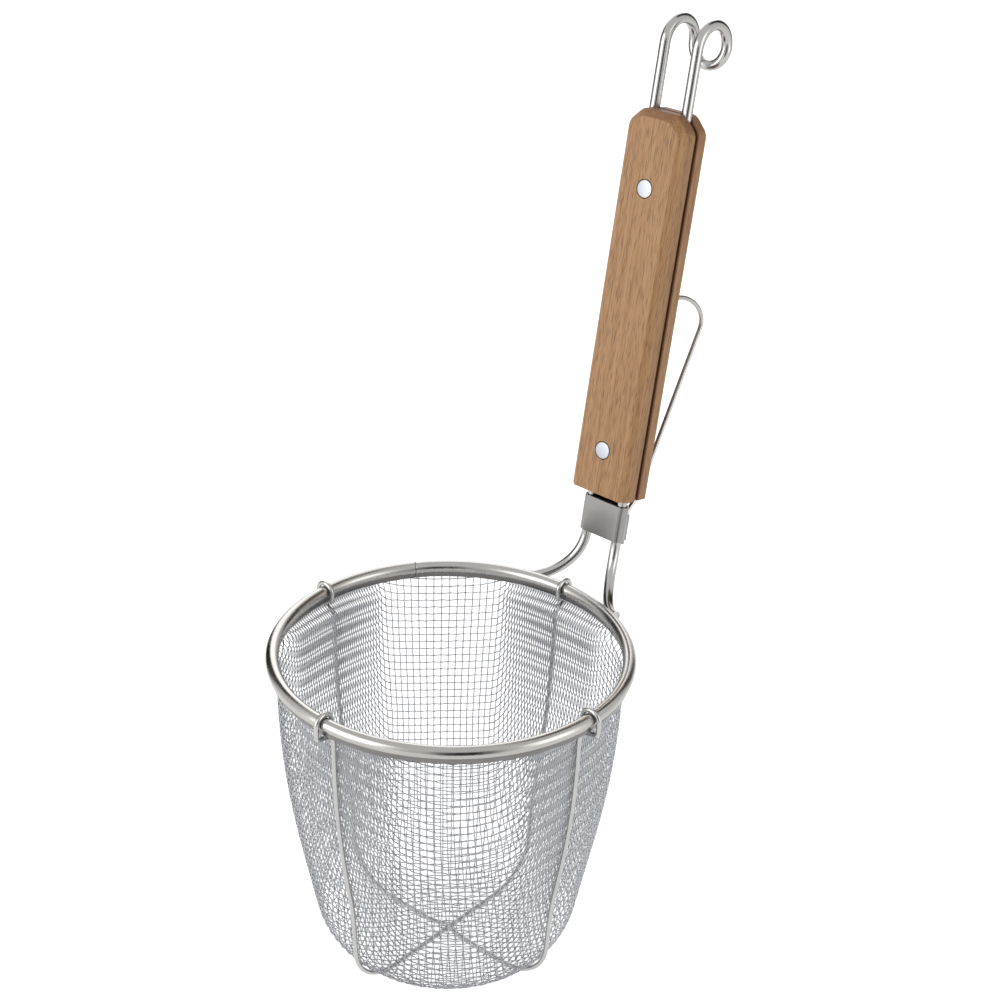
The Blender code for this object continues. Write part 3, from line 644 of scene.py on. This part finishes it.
rim = {
    "sheet": 0.5, "skirtDepth": 4.2, "skirtFlare": 0.1, "skirtBulge": 0.12, "edgeRun": 0.5,
    "creaseAngle": radians(38), "creaseDepth": 0.35, "creaseBlend": 0.16,
    "edgeWaver": 0.12, "wavers": (11, 23, 41, 67), "waverDrop": 2.4, "waverRun": 1.8,
    "steps": 240, "skirtRows": 3,  # the rows of faces from the skirt's edge to the crease
    "seam": 146.5, "seamWidth": 0.3, "seamDepth": 0.3,  # where the rolled strip's two ends meet
}


def rimProfile():
    # the polished outside, then the inside of the roll, which is painted dark as shade
    r, sheet = rollRadius, rim["sheet"]
    centre = np.array([rollCentreRadius, rimHeight])
    edge = basket["wallInset"] + touchGap + sheet  # the skirt's outer side, from the cloth's middle
    turn = rim["creaseAngle"]
    tip = centre + (edge, -rim["skirtDepth"])
    flared = tip + (rim["skirtFlare"], rim["edgeRun"])
    crease = centre + (r * cos(turn) - rim["creaseDepth"], -r * sin(turn))
    skirt = [tip, flared, (crease + flared) / 2 + (rim["skirtBulge"], 0), crease]
    right = np.vstack([skirt, arc(centre, r, rim["creaseBlend"] - turn, pi / 2, 14)])
    left = right[::-1][1:] * (-1, 1) + (2 * rollCentreRadius, 0)
    skin = np.vstack([right, left])
    return skin, shiftedLine(skin, sheet)[::-1]


def makeRim():
    skin, inside = rimProfile()
    half = np.degrees(rim["seamWidth"] / 2 / rollCentreRadius)
    seam = np.radians(rim["seam"] + half * np.array([-2, -1, 0, 1, 2]))
    places, faces = turnedShape(np.vstack([skin, inside]), rim["steps"], True, seam)
    # the cut edges of the skirts waver a little, as trimmed and pressed sheet does
    angle = np.arctan2(places[:, 1], places[:, 0])
    low = np.clip((rimHeight - rim["waverDrop"] - places[:, 2]) / rim["waverRun"], 0, 1)
    waver = sum(np.sin(k * angle + 1.7 * k) / (i + 1.5) for i, k in enumerate(rim["wavers"]))
    places[:, 2] += rim["edgeWaver"] * waver * low
    # a groove across the roll at the seam
    beside = abs(angle - seam[2]) * rollCentreRadius / rim["seamWidth"]
    centre = np.stack([rollCentreRadius * np.cos(angle), rollCentreRadius * np.sin(angle),
                       np.full(len(angle), rimHeight)], 1)
    perRow = rim["steps"] + len(seam)
    onSkin = np.arange(len(places)) < len(skin) * perRow
    places -= unit(places - centre) * (rim["seamDepth"] * np.clip(1 - beside, 0, 1) * onSkin)[:, None]
    piece = makePiece("rolledRim", (places, faces), sheetSteel, "strainer", ("rim_channel",),
                      35)
    # the inside of the roll takes a dark steel: painted shade
    piece.data.materials.append(rollInsidePaintedShadeSteel)
    # the skirts take a darker steel: painted shade under the roll
    piece.data.materials.append(shadedSkirtSteel)
    for polygon in piece.data.polygons:
        row = polygon.index // perRow
        if row >= len(skin) - 1:
            polygon.material_index = 1
        elif row < rim["skirtRows"] or row >= len(skin) - 1 - rim["skirtRows"]:
            polygon.material_index = 2


makeRim()
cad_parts["rim_core_ring"].data.materials.clear()
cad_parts["rim_core_ring"].data.materials.append(ribSteel)
print("rim rolled")


# The ribs: two wires under the basket, hooked over the rim

ribs = {
    "turn": radians(1.65), "stepLow": 11.0, "underDrop": 4.0, "underRadius": 2.2, "underAngle": radians(80),
    "stepPull": 5.0, "innerDrop": 4.2, "innerLean": 0.5, "humpLength": 20.0, "sides": 18, "endDome": 0.35,
}


def ribLine(middleHeight):
    hookRadius = rollRadius + ribOffset
    inside = rollCentreRadius - hookRadius
    end = np.array([[inside + ribs["innerLean"], rimHeight - ribs["innerDrop"]]])
    over = arc((rollCentreRadius, rimHeight), hookRadius, pi, 0, 30)
    reach, turn = ribs["underRadius"], ribs["underAngle"]
    under = arc((rollCentreRadius + hookRadius - reach, rimHeight - ribs["underDrop"]), reach, 0, -turn, 12)
    cloth = basketWall(60)
    cloth[:, 0] -= drawnIn(cloth[:, 1], 0)
    wall = shiftedLine(cloth, ribOffset)
    wall = wall[wall[:, 1] < rimHeight - ribs["stepLow"]]
    inwards = ribs["stepPull"] * np.array([-sin(turn), -cos(turn)])
    step = bezier(under[-1], under[-1] + inwards, wall[0] + (0, ribs["stepPull"]), wall[0], 16)
    wall[-1, 1] = ribHeight
    share = np.linspace(0, 1, 17)
    lift = (middleHeight - ribHeight) * (1 - np.cos(pi * share)) / 2
    middle = np.stack([ribs["humpLength"] / 2 * (1 - share), ribHeight + lift], 1)
    return np.vstack([end, over, under, step, wall[1:], middle])


def makeRib(name, turn, middleHeight, node):
    side = ribLine(middleHeight)
    flat = np.vstack([side, side[-2::-1] * (-1, 1)])
    line = np.stack([flat[:, 0] * cos(turn), flat[:, 0] * sin(turn), flat[:, 1]], 1)
    places, faces = sweptTube(line, ribRadius, ribs["sides"], ribs["endDome"])
    places[:, 2] = np.maximum(places[:, 2], 0)  # worn flat where it stands
    makePiece(name, (places, faces), ribSteel, "strainer", (node,), 50)


makeRib("lowerRib", ribs["turn"] + pi / 2, ribHeight, "rib_wire_lower")
makeRib("upperRib", ribs["turn"], ribHeight + 2 * ribRadius + touchGap, "rib_wire_upper")
print("ribs bent")


# The handle: one rod with both tails on the rim and the double hook at its top

rod = {
    "tailAngle": radians(19.6), "tailLength": 0.6, "tailSteps": 9, "tailNest": radians(23),
    "tailPeel": radians(20), "tailPull": 6.5, "bendTop": 19.1, "bendPull": 18.0,
    "hookRise": 229.0, "hookRadius": 9.75, "returnRise": 0.5, "sides": 28, "endDome": 0.5,
}


def rodHalf():
    # tail on the rim, bend, leg, over the hook's arch and back to its middle
    out = rollRadius + rodRadius + touchGap
    reach = rollCentreRadius + out * cos(rod["tailNest"])
    height = rimHeight - out * sin(rod["tailNest"])
    count, bendTop, hookRise, hookRadius = rod["tailSteps"], rod["bendTop"], rod["hookRise"], rod["hookRadius"]
    swing = rod["tailAngle"] + rod["tailLength"] / reach * (1 - np.linspace(0, 1, count))
    tail = np.stack([-reach * np.sin(swing), reach * np.cos(swing), np.full(count, height)], 1)
    peel = rod["tailAngle"] - rod["tailPeel"]
    away = tail[-1] + rod["tailPull"] * np.array([cos(peel), sin(peel), 0])
    leg, legPull = handlePoints([(-halfSpacing, 0, bendTop), (-halfSpacing, 0, bendTop - rod["bendPull"])])
    bend = bezier(tail[-1], away, legPull, leg, 40)
    straight = handlePoints([(-halfSpacing, 0, up) for up in np.linspace(bendTop, hookRise, 12)[1:-1]])
    hook = [(-halfSpacing, back, up) for back, up in arc((hookRadius, hookRise), hookRadius, pi, 0, 36)]
    turn = [(across, 2 * hookRadius, up)
            for across, up in arc((0, hookRise + rod["returnRise"]), halfSpacing, pi, 1.5 * pi, 18)]
    return np.vstack([tail, bend, straight, handlePoints(hook + turn)])


half = rodHalf()
rodLine = np.vstack([half, half[-2::-1] * (-1, 1, 1)])
makePiece("handleRod", sweptTube(rodLine, rodRadius, rod["sides"], rod["endDome"]), rodSteel, "strainer",
          ("handle_rod",), 50)
print("rod bent")


# The sleeve: a flattened tube round both legs, with a ridge over each of the clip's tails

sleeve = {
    "bottom": 19.8, "length": 16.1, "wall": 0.55, "ridgeLength": 11.2, "edge": 0.15, "cornerSteps": 16,
}
clip = {
    "radius": 1.0, "rodGap": 0.5, "hingeHeight": 30.0, "tailLength": 4.8, "straightDrop": 0.5,
    "armStart": (40.0, 10.35), "armEnd": (110.0, 34.8), "topHeight": 126.4, "lowPull": 4.0,
    "curlPull": 9.0, "curlEndPull": 10.5, "cornerRadius": 4.0, "sides": 20, "endDome": 0.3,
}
clipLine = rodRadius + clip["rodGap"] + clip["radius"]  # from the rod's middle to the clip's tails
gripFace = 9.175
cutSpare = 2.0  # how far a cutter stands out of what it cuts


def obround(radius, steps):
    right = arc((halfSpacing, 0), radius, -pi / 2, pi / 2, steps)
    left = arc((-halfSpacing, 0), radius, pi / 2, 1.5 * pi, steps)
    return np.vstack([right, left])


def stackedRings(rings):
    # closed solid from flat rings (list of (ring rows, height)), in the handle's frame
    places = np.vstack([np.column_stack([ring, np.full(len(ring), height)]) for ring, height in rings])
    return handlePoints(places), tubeFaces(len(rings), len(rings[0][0]))


def uprightCylinder(name, across, back, low, high, radius, finish, sides=40):
    ring = arc((across, back), radius, 0, 2 * pi, sides)[:-1]
    return makePiece(name, stackedRings([(ring, low), (ring, high)]), finish, None)


def makeSleeve():
    steps, edge = sleeve["cornerSteps"], sleeve["edge"]
    low = sleeve["bottom"]
    high, ridgeTop = low + sleeve["length"], low + sleeve["ridgeLength"]
    bore = rodRadius + touchGap
    outer = bore + sleeve["wall"]
    rings = [(obround(outer - edge, steps), low), (obround(outer, steps), low + edge),
             (obround(outer, steps), high - edge), (obround(outer - edge, steps), high)]
    piece = makePiece("legSleeve", stackedRings(rings), sleeveDarkReflectionSteel, None)
    boreRing = obround(bore, steps)
    through = [(boreRing, low - cutSpare), (boreRing, high + cutSpare)]
    hollow = makePiece("sleeveBore", stackedRings(through), sleeveDarkReflectionSteel, None)
    tailBore = clip["radius"] + touchGap
    ridges, tailBores = [], []
    for side in (-halfSpacing, halfSpacing):
        ridges.append(uprightCylinder("ridge", side, clipLine, low, ridgeTop, tailBore + sleeve["wall"],
                                      sleeveDarkReflectionSteel))
        tailBores.append(uprightCylinder("tailBore", side, clipLine, low - cutSpare, ridgeTop + cutSpare, tailBore,
                                         sleeveDarkReflectionSteel))
    cutAndJoin(piece, ridges, [hollow] + tailBores)
    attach(piece, "strainer")
    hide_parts("leg_sleeve")


makeSleeve()


def clipHalf():
    # tail in the sleeve, bend, arm and curl up to the middle of the clip's top
    start, end = np.array(clip["armStart"]), np.array(clip["armEnd"])
    lean = unit(end - start)
    tail = np.array([[clip["hingeHeight"] - clip["tailLength"], clipLine]])
    bendStart = np.array([clip["hingeHeight"] - clip["straightDrop"], clipLine])
    bend = bezier(bendStart, bendStart + (clip["lowPull"], 0), start - clip["lowPull"] * lean, start, 16)
    closedEnd = gripFace + touchGap + clip["radius"]
    top = np.array([clip["topHeight"], closedEnd + clip["cornerRadius"]])
    curl = bezier(end, end + clip["curlPull"] * lean, top + (0, clip["curlEndPull"]), top, 32)
    side = np.vstack([tail, bendStart[None], bend, end[None], curl])
    rows = [(halfSpacing, back, up) for up, back in side]
    across, back, up = rows[-1]
    for dx, dy in arc((0, 0), clip["cornerRadius"], 0, -pi / 2, 12)[1:]:
        rows.append((across - clip["cornerRadius"] + dx, back + dy, up))
    return handlePoints(rows)


clipSide = clipHalf()
clipWire = np.vstack([clipSide, clipSide[::-1] * (-1, 1, 1)])
makePiece("panClip", sweptTube(clipWire, clip["radius"], clip["sides"], clip["endDome"]), clipSteel, "clip",
          ("pan_clip",), 50)
print("sleeve and clip made")


# The grip: two wooden scales on the legs, held by two rivets

grip = {
    "bottom": 40.4, "length": 162.9, "width": 30.1, "gap": 1.6, "chamfer": 3.0,
    "cornerCut": 6.4, "cornerRound": 2.4, "edgeRound": 0.35, "partingRound": 0.35, "cornerSteps": 6,
    "rivetHeights": {"Lower": 19.4, "Upper": 131.6},
}
rivets = {
    "headRadius": 3.7, "headThickness": 1.6, "proud": 0.3, "headRound": 0.35, "crown": 0.12, "shankRadius": 2.0,
    "capWall": 0.5, "capLength": 6.0, "capOverlap": 3.6, "steps": 48,
}
scaleThickness = gripFace - grip["gap"] / 2
gripWood = sealedHardwood()


def scaleRing(inset):
    # square at the bottom, its top corners sawn off and eased
    half, top = grip["width"] / 2 - inset, grip["length"] - inset
    cut = grip["cornerCut"] - inset * (2 - 2**0.5)
    right = [(half, 0), (half, top - cut), (half - cut, top)]
    outline = right + [(-across, up) for across, up in right[::-1]]
    return roundCorners(outline, grip["cornerRound"], grip["cornerSteps"])


def makeScale(name, facing, node):
    # (depth, inset) from the parting face to the flat of the front
    edge = [(0, grip["partingRound"]), (grip["partingRound"], 0), (scaleThickness - grip["chamfer"], 0),
            (scaleThickness, grip["chamfer"]), (scaleThickness, grip["chamfer"] + 2.0)]
    profile = np.vstack([edge[:1], roundCorners(edge[1:], grip["edgeRound"])])
    rings = []
    for depth, inset in profile:
        ring = scaleRing(inset)
        back = np.full(len(ring), -facing * (grip["gap"] / 2 + depth))
        rings.append(np.column_stack([ring[:, 0], back, grip["bottom"] + ring[:, 1]]))
    faces = tubeFaces(len(rings), len(rings[0]))
    if facing < 0:
        faces = [face[::-1] for face in faces]
    piece = makePiece(name, (handlePoints(np.vstack(rings)), faces), gripWood, None)
    low, high = grip["bottom"] - cutSpare, grip["bottom"] + grip["length"] + cutSpare
    cutters = [uprightCylinder("groove", side, 0, low, high, rodRadius + touchGap, gripWood)
               for side in (-halfSpacing, halfSpacing)]
    seat = rivets["headThickness"] - rivets["proud"] + touchGap
    shank = rivets["shankRadius"] if facing > 0 else rivets["shankRadius"] + touchGap + rivets["capWall"]
    for up in grip["rivetHeights"].values():
        for radius, start in ((shank, -cutSpare / 2), (rivets["headRadius"], gripFace - seat)):
            ring = arc((0, grip["bottom"] + up), radius + touchGap, 0, 2 * pi, rivets["steps"])[:-1]
            rows = [np.insert(ring, 1, -facing * depth, 1) for depth in (start, gripFace + cutSpare)]
            shape = handlePoints(np.vstack(rows)), tubeFaces(2, rivets["steps"])
            cutters.append(makePiece("rivetHole", shape, gripWood, None))
    cutAndJoin(piece, [], cutters)
    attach(piece, "strainer")
    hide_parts(node)


makeScale("frontScale", 1, "grip_front")
makeScale("backScale", -1, "grip_back")


def headEdge(face, base):
    # a rivet head from the middle of its slightly crowned face to its base
    inward = 1 if face > base else -1
    r, rounding, crown = rivets["headRadius"], rivets["headRound"], rivets["crown"]
    top = [(x * (r - rounding), face - inward * crown * x * x) for x in np.linspace(0, 1, 8)]
    edge = arc((r - rounding, face - inward * (crown + rounding)), rounding, 0, pi / 2, 4)[::-1]
    if inward < 0:
        edge[:, 1] = 2 * (face + crown + rounding) - edge[:, 1]
    return top + [tuple(p) for p in edge[1:]] + [(r, base)]


def makeRivet(label, height):
    # head and shank in front, a cap over the shank's end at the back, each turned from (radius, depth)
    face = gripFace + rivets["proud"]
    headBase = face - rivets["headThickness"]
    sleeveEnd = -headBase + rivets["capLength"]
    shankEnd = sleeveEnd - rivets["capOverlap"]
    shank, bore = rivets["shankRadius"], rivets["shankRadius"] + touchGap
    front = headEdge(face, headBase) + [(shank, headBase), (shank, shankEnd), (0, shankEnd)]
    floor, outside = shankEnd - touchGap, bore + rivets["capWall"]
    back = [(0, floor), (bore, floor), (bore, sleeveEnd), (outside, sleeveEnd), (outside, -headBase)]
    back += headEdge(-face, -headBase)[::-1]
    for where, profile in (("Front", front), ("Back", back)):
        places, faces = turnedShape(np.array(profile), rivets["steps"])
        rows = np.column_stack([places[:, 0], -places[:, 2], grip["bottom"] + height + places[:, 1]])
        makePiece("rivet" + label + where, (handlePoints(rows), faces), aluminium, "strainer",
                  ("rivet_" + label.lower() + "_" + where.lower(),), 40)


for label, height in grip["rivetHeights"].items():
    makeRivet(label, height)
print("grip riveted")


# Surroundings: white floor and backdrop, two light panels in front, one behind, cards that only metal sees

studio = {
    "worldLight": 0.36, "floorShade": "F2F2F2", "floorGlow": 0.72, "floorReach": 6000.0, "cardShade": "0C0C0C",
    # power in watts, azimuth in degrees, distance, height of the middle, width and height in metres
    "panels": {"keyPanel": (9.0, -108, 1.15, 0.55, 0.9, 1.0), "fillPanel": (3.2, 14, 1.2, 0.45, 0.6, 0.9),
               "backPanel": (7.0, 135, 1.6, 1.0, 1.4, 1.0)},
    # azimuth in degrees, distance, height of the middle, width and height in metres
    "cards": {"frontCard": (-38, 0.6, 0.27, 0.36, 0.5), "leftCard": (178, 0.55, 0.32, 0.34, 0.64),
              "rightCard": (84, 0.6, 0.55, 0.28, 1.1)},
}


def seenDirectly(tree):
    # 1 for camera, glossy and transmission rays
    path = addNode(tree, "ShaderNodeLightPath")
    seen = addNode(tree, "ShaderNodeMath", {"operation": "MAXIMUM"},
                   {0: path.outputs["Is Camera Ray"], 1: path.outputs["Is Glossy Ray"]})
    return addNode(tree, "ShaderNodeMath", {"operation": "MAXIMUM"},
                   {0: seen.outputs[0], 1: path.outputs["Is Transmission Ray"]}).outputs[0]


def makeWorld():
    world = bpy.data.worlds.new("studioWhite")
    bpy.context.scene.world = world
    world.use_nodes = True
    tree = world.node_tree
    tree.nodes.clear()
    dim = addNode(tree, "ShaderNodeBackground", {"Color": (1, 1, 1, 1), "Strength": studio["worldLight"]})
    white = addNode(tree, "ShaderNodeBackground", {"Color": (1, 1, 1, 1), "Strength": 1.0})
    mixed = addNode(tree, "ShaderNodeMixShader", {},
                    {0: seenDirectly(tree), 1: dim.outputs[0], 2: white.outputs[0]})
    addNode(tree, "ShaderNodeOutputWorld", {}, {"Surface": mixed.outputs[0]})


def makeFloor():
    made, tree = newMaterial("whiteFloor")
    matt = addNode(tree, "ShaderNodeBsdfDiffuse", {"Color": linear(studio["floorShade"])})
    glow = addNode(tree, "ShaderNodeMath", {"operation": "MULTIPLY", 1: studio["floorGlow"]},
                   {0: seenDirectly(tree)})
    glowing = addNode(tree, "ShaderNodeEmission", {"Color": (1, 1, 1, 1)}, {"Strength": glow.outputs[0]})
    both = addNode(tree, "ShaderNodeAddShader", {}, {0: matt.outputs[0], 1: glowing.outputs[0]})
    finishWith(tree, both)
    reach = studio["floorReach"]
    corners = [(-reach, -reach, 0), (reach, -reach, 0), (reach, reach, 0), (-reach, reach, 0)]
    floor = makePiece("floor", (np.array(corners), [[0, 1, 2, 3]]), made, None)


def placeAround(azimuth, distance, height):
    # a place round the object, and the turn that makes a panel there face it
    angle = radians(azimuth)
    place = Vector((distance * cos(angle), distance * sin(angle), height))
    return place, (Vector((0, 0, 0.2)) - place).to_track_quat("-Z", "Y").to_euler()


def makePanel(name, power, azimuth, distance, height, width, tall):
    lamp = bpy.data.lights.new(name, "AREA")
    lamp.shape, lamp.size, lamp.size_y, lamp.energy = "RECTANGLE", width, tall, power
    light = bpy.data.objects.new(name, lamp)
    light.location, light.rotation_euler = placeAround(azimuth, distance, height)
    bpy.context.scene.collection.objects.link(light)


def makeCards():
    # matt felt: soaks up light, so that round metal gets its dark lines
    felt, tree = newMaterial("blackFelt")
    finishWith(tree, addNode(tree, "ShaderNodeBsdfDiffuse", {"Color": linear(studio["cardShade"])}))
    for name, (azimuth, distance, height, width, tall) in studio["cards"].items():
        place, turn = placeAround(azimuth, distance, height)
        half = np.array([(-width, -tall, 0), (width, -tall, 0), (width, tall, 0), (-width, tall, 0)]) / 2
        corners = half @ np.array(turn.to_matrix()).T + np.array(place)
        card = makePiece(name, (corners / mm, [[0, 1, 2, 3]]), felt, None)
        card.visible_camera = card.visible_diffuse = False
        card.visible_transmission = card.visible_shadow = False


makeWorld()
makeFloor()
for name, panel in studio["panels"].items():
    makePanel(name, *panel)
makeCards()

# The camera, where the photograph was taken from, with angles in degrees
view = {"place": (476.6, -507.3, 562.8), "azimuth": 41.741, "elevation": 26.806, "roll": 1.742, "lens": 72.04}


def makeCamera():
    data = bpy.data.cameras.new("photoCamera")
    data.lens, data.sensor_width, data.clip_start, data.clip_end = view["lens"], 36.0, 0.01, 50.0
    camera = bpy.data.objects.new("photoCamera", data)
    turn = (Matrix.Rotation(radians(view["azimuth"]), 4, "Z")
            @ Matrix.Rotation(radians(90 - view["elevation"]), 4, "X")
            @ Matrix.Rotation(radians(view["roll"]), 4, "Z"))
    camera.matrix_world = Matrix.Translation(Vector(view["place"]) * mm) @ turn
    bpy.context.scene.collection.objects.link(camera)
    bpy.context.scene.camera = camera


makeCamera()
bpy.context.scene.view_settings.view_transform = "Standard"

bpy.context.view_layer.update()
print("scene ready")
